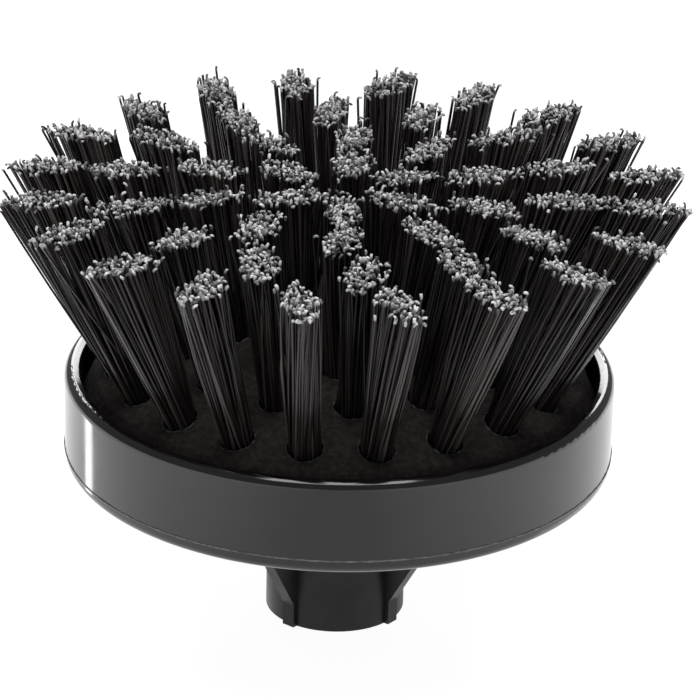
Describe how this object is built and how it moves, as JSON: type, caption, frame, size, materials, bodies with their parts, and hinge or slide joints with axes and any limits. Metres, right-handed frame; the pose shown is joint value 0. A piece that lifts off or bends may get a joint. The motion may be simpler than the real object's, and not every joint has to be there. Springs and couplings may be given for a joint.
{
  "type": "wheel brush",
  "caption": "Round wheel brush head: a domed block in a glossy rim carries rings of flared stiff black tufts, and a finned socket hub underneath takes the drive spindle.",
  "frame": {"origin": "centre of the hub's open end, which the brush stands on", "axes": "+Z along the axis of rotation, towards the bristle tips; -Y is the front"},
  "size_m": [0.1474, 0.1474, 0.1038],
  "materials": {
    "rim_gloss": "polished moulded black plastic",
    "block_matte": "matt black plastic, rough from drilling",
    "cover_gloss": "glossy moulded black plastic",
    "hub_satin": "satin moulded black plastic",
    "bush_steel": "turned steel, bright zinc plate",
    "spring_steel": "oiled spring steel wire",
    "screw_steel": "zinc-plated steel",
    "anchor_wire": "flat galvanised wire",
    "bristle": "stiff black polypropylene filament, worn grey at the trimmed ends"
  },
  "bodies": {
    "root": {"rim_shell": "rim_gloss", "brush_block": "block_matte", "back_cover": "cover_gloss", "drive_hub": "hub_satin", "drive_bush": "bush_steel", "retaining_ring": "spring_steel", "hub_screws": "screw_steel", "cover_screws": "screw_steel", "tuft_anchors": "anchor_wire", "tuft_outer_01": "bristle", "tuft_outer_02": "bristle", "tuft_outer_03": "bristle", "tuft_outer_04": "bristle", "tuft_outer_05": "bristle", "tuft_outer_06": "bristle", "tuft_outer_07": "bristle", "tuft_outer_08": "bristle", "tuft_outer_09": "bristle", "tuft_outer_10": "bristle", "tuft_outer_11": "bristle", "tuft_outer_12": "bristle", "tuft_outer_13": "bristle", "tuft_outer_14": "bristle", "tuft_outer_15": "bristle", "tuft_outer_16": "bristle", "tuft_outer_17": "bristle", "tuft_outer_18": "bristle", "tuft_outer_19": "bristle", "tuft_outer_20": "bristle", "tuft_second_01": "bristle", "tuft_second_02": "bristle", "tuft_second_03": "bristle", "tuft_second_04": "bristle", "tuft_second_05": "bristle", "tuft_second_06": "bristle", "tuft_second_07": "bristle", "tuft_second_08": "bristle", "tuft_second_09": "bristle", "tuft_second_10": "bristle", "tuft_second_11": "bristle", "tuft_second_12": "bristle", "tuft_second_13": "bristle", "tuft_second_14": "bristle", "tuft_third_01": "bristle", "tuft_third_02": "bristle", "tuft_third_03": "bristle", "tuft_third_04": "bristle", "tuft_third_05": "bristle", "tuft_third_06": "bristle", "tuft_third_07": "bristle", "tuft_third_08": "bristle", "tuft_third_09": "bristle", "tuft_third_10": "bristle", "tuft_inner_01": "bristle", "tuft_inner_02": "bristle", "tuft_inner_03": "bristle", "tuft_inner_04": "bristle", "tuft_inner_05": "bristle", "tuft_inner_06": "bristle"}
  },
  "joints": []
}
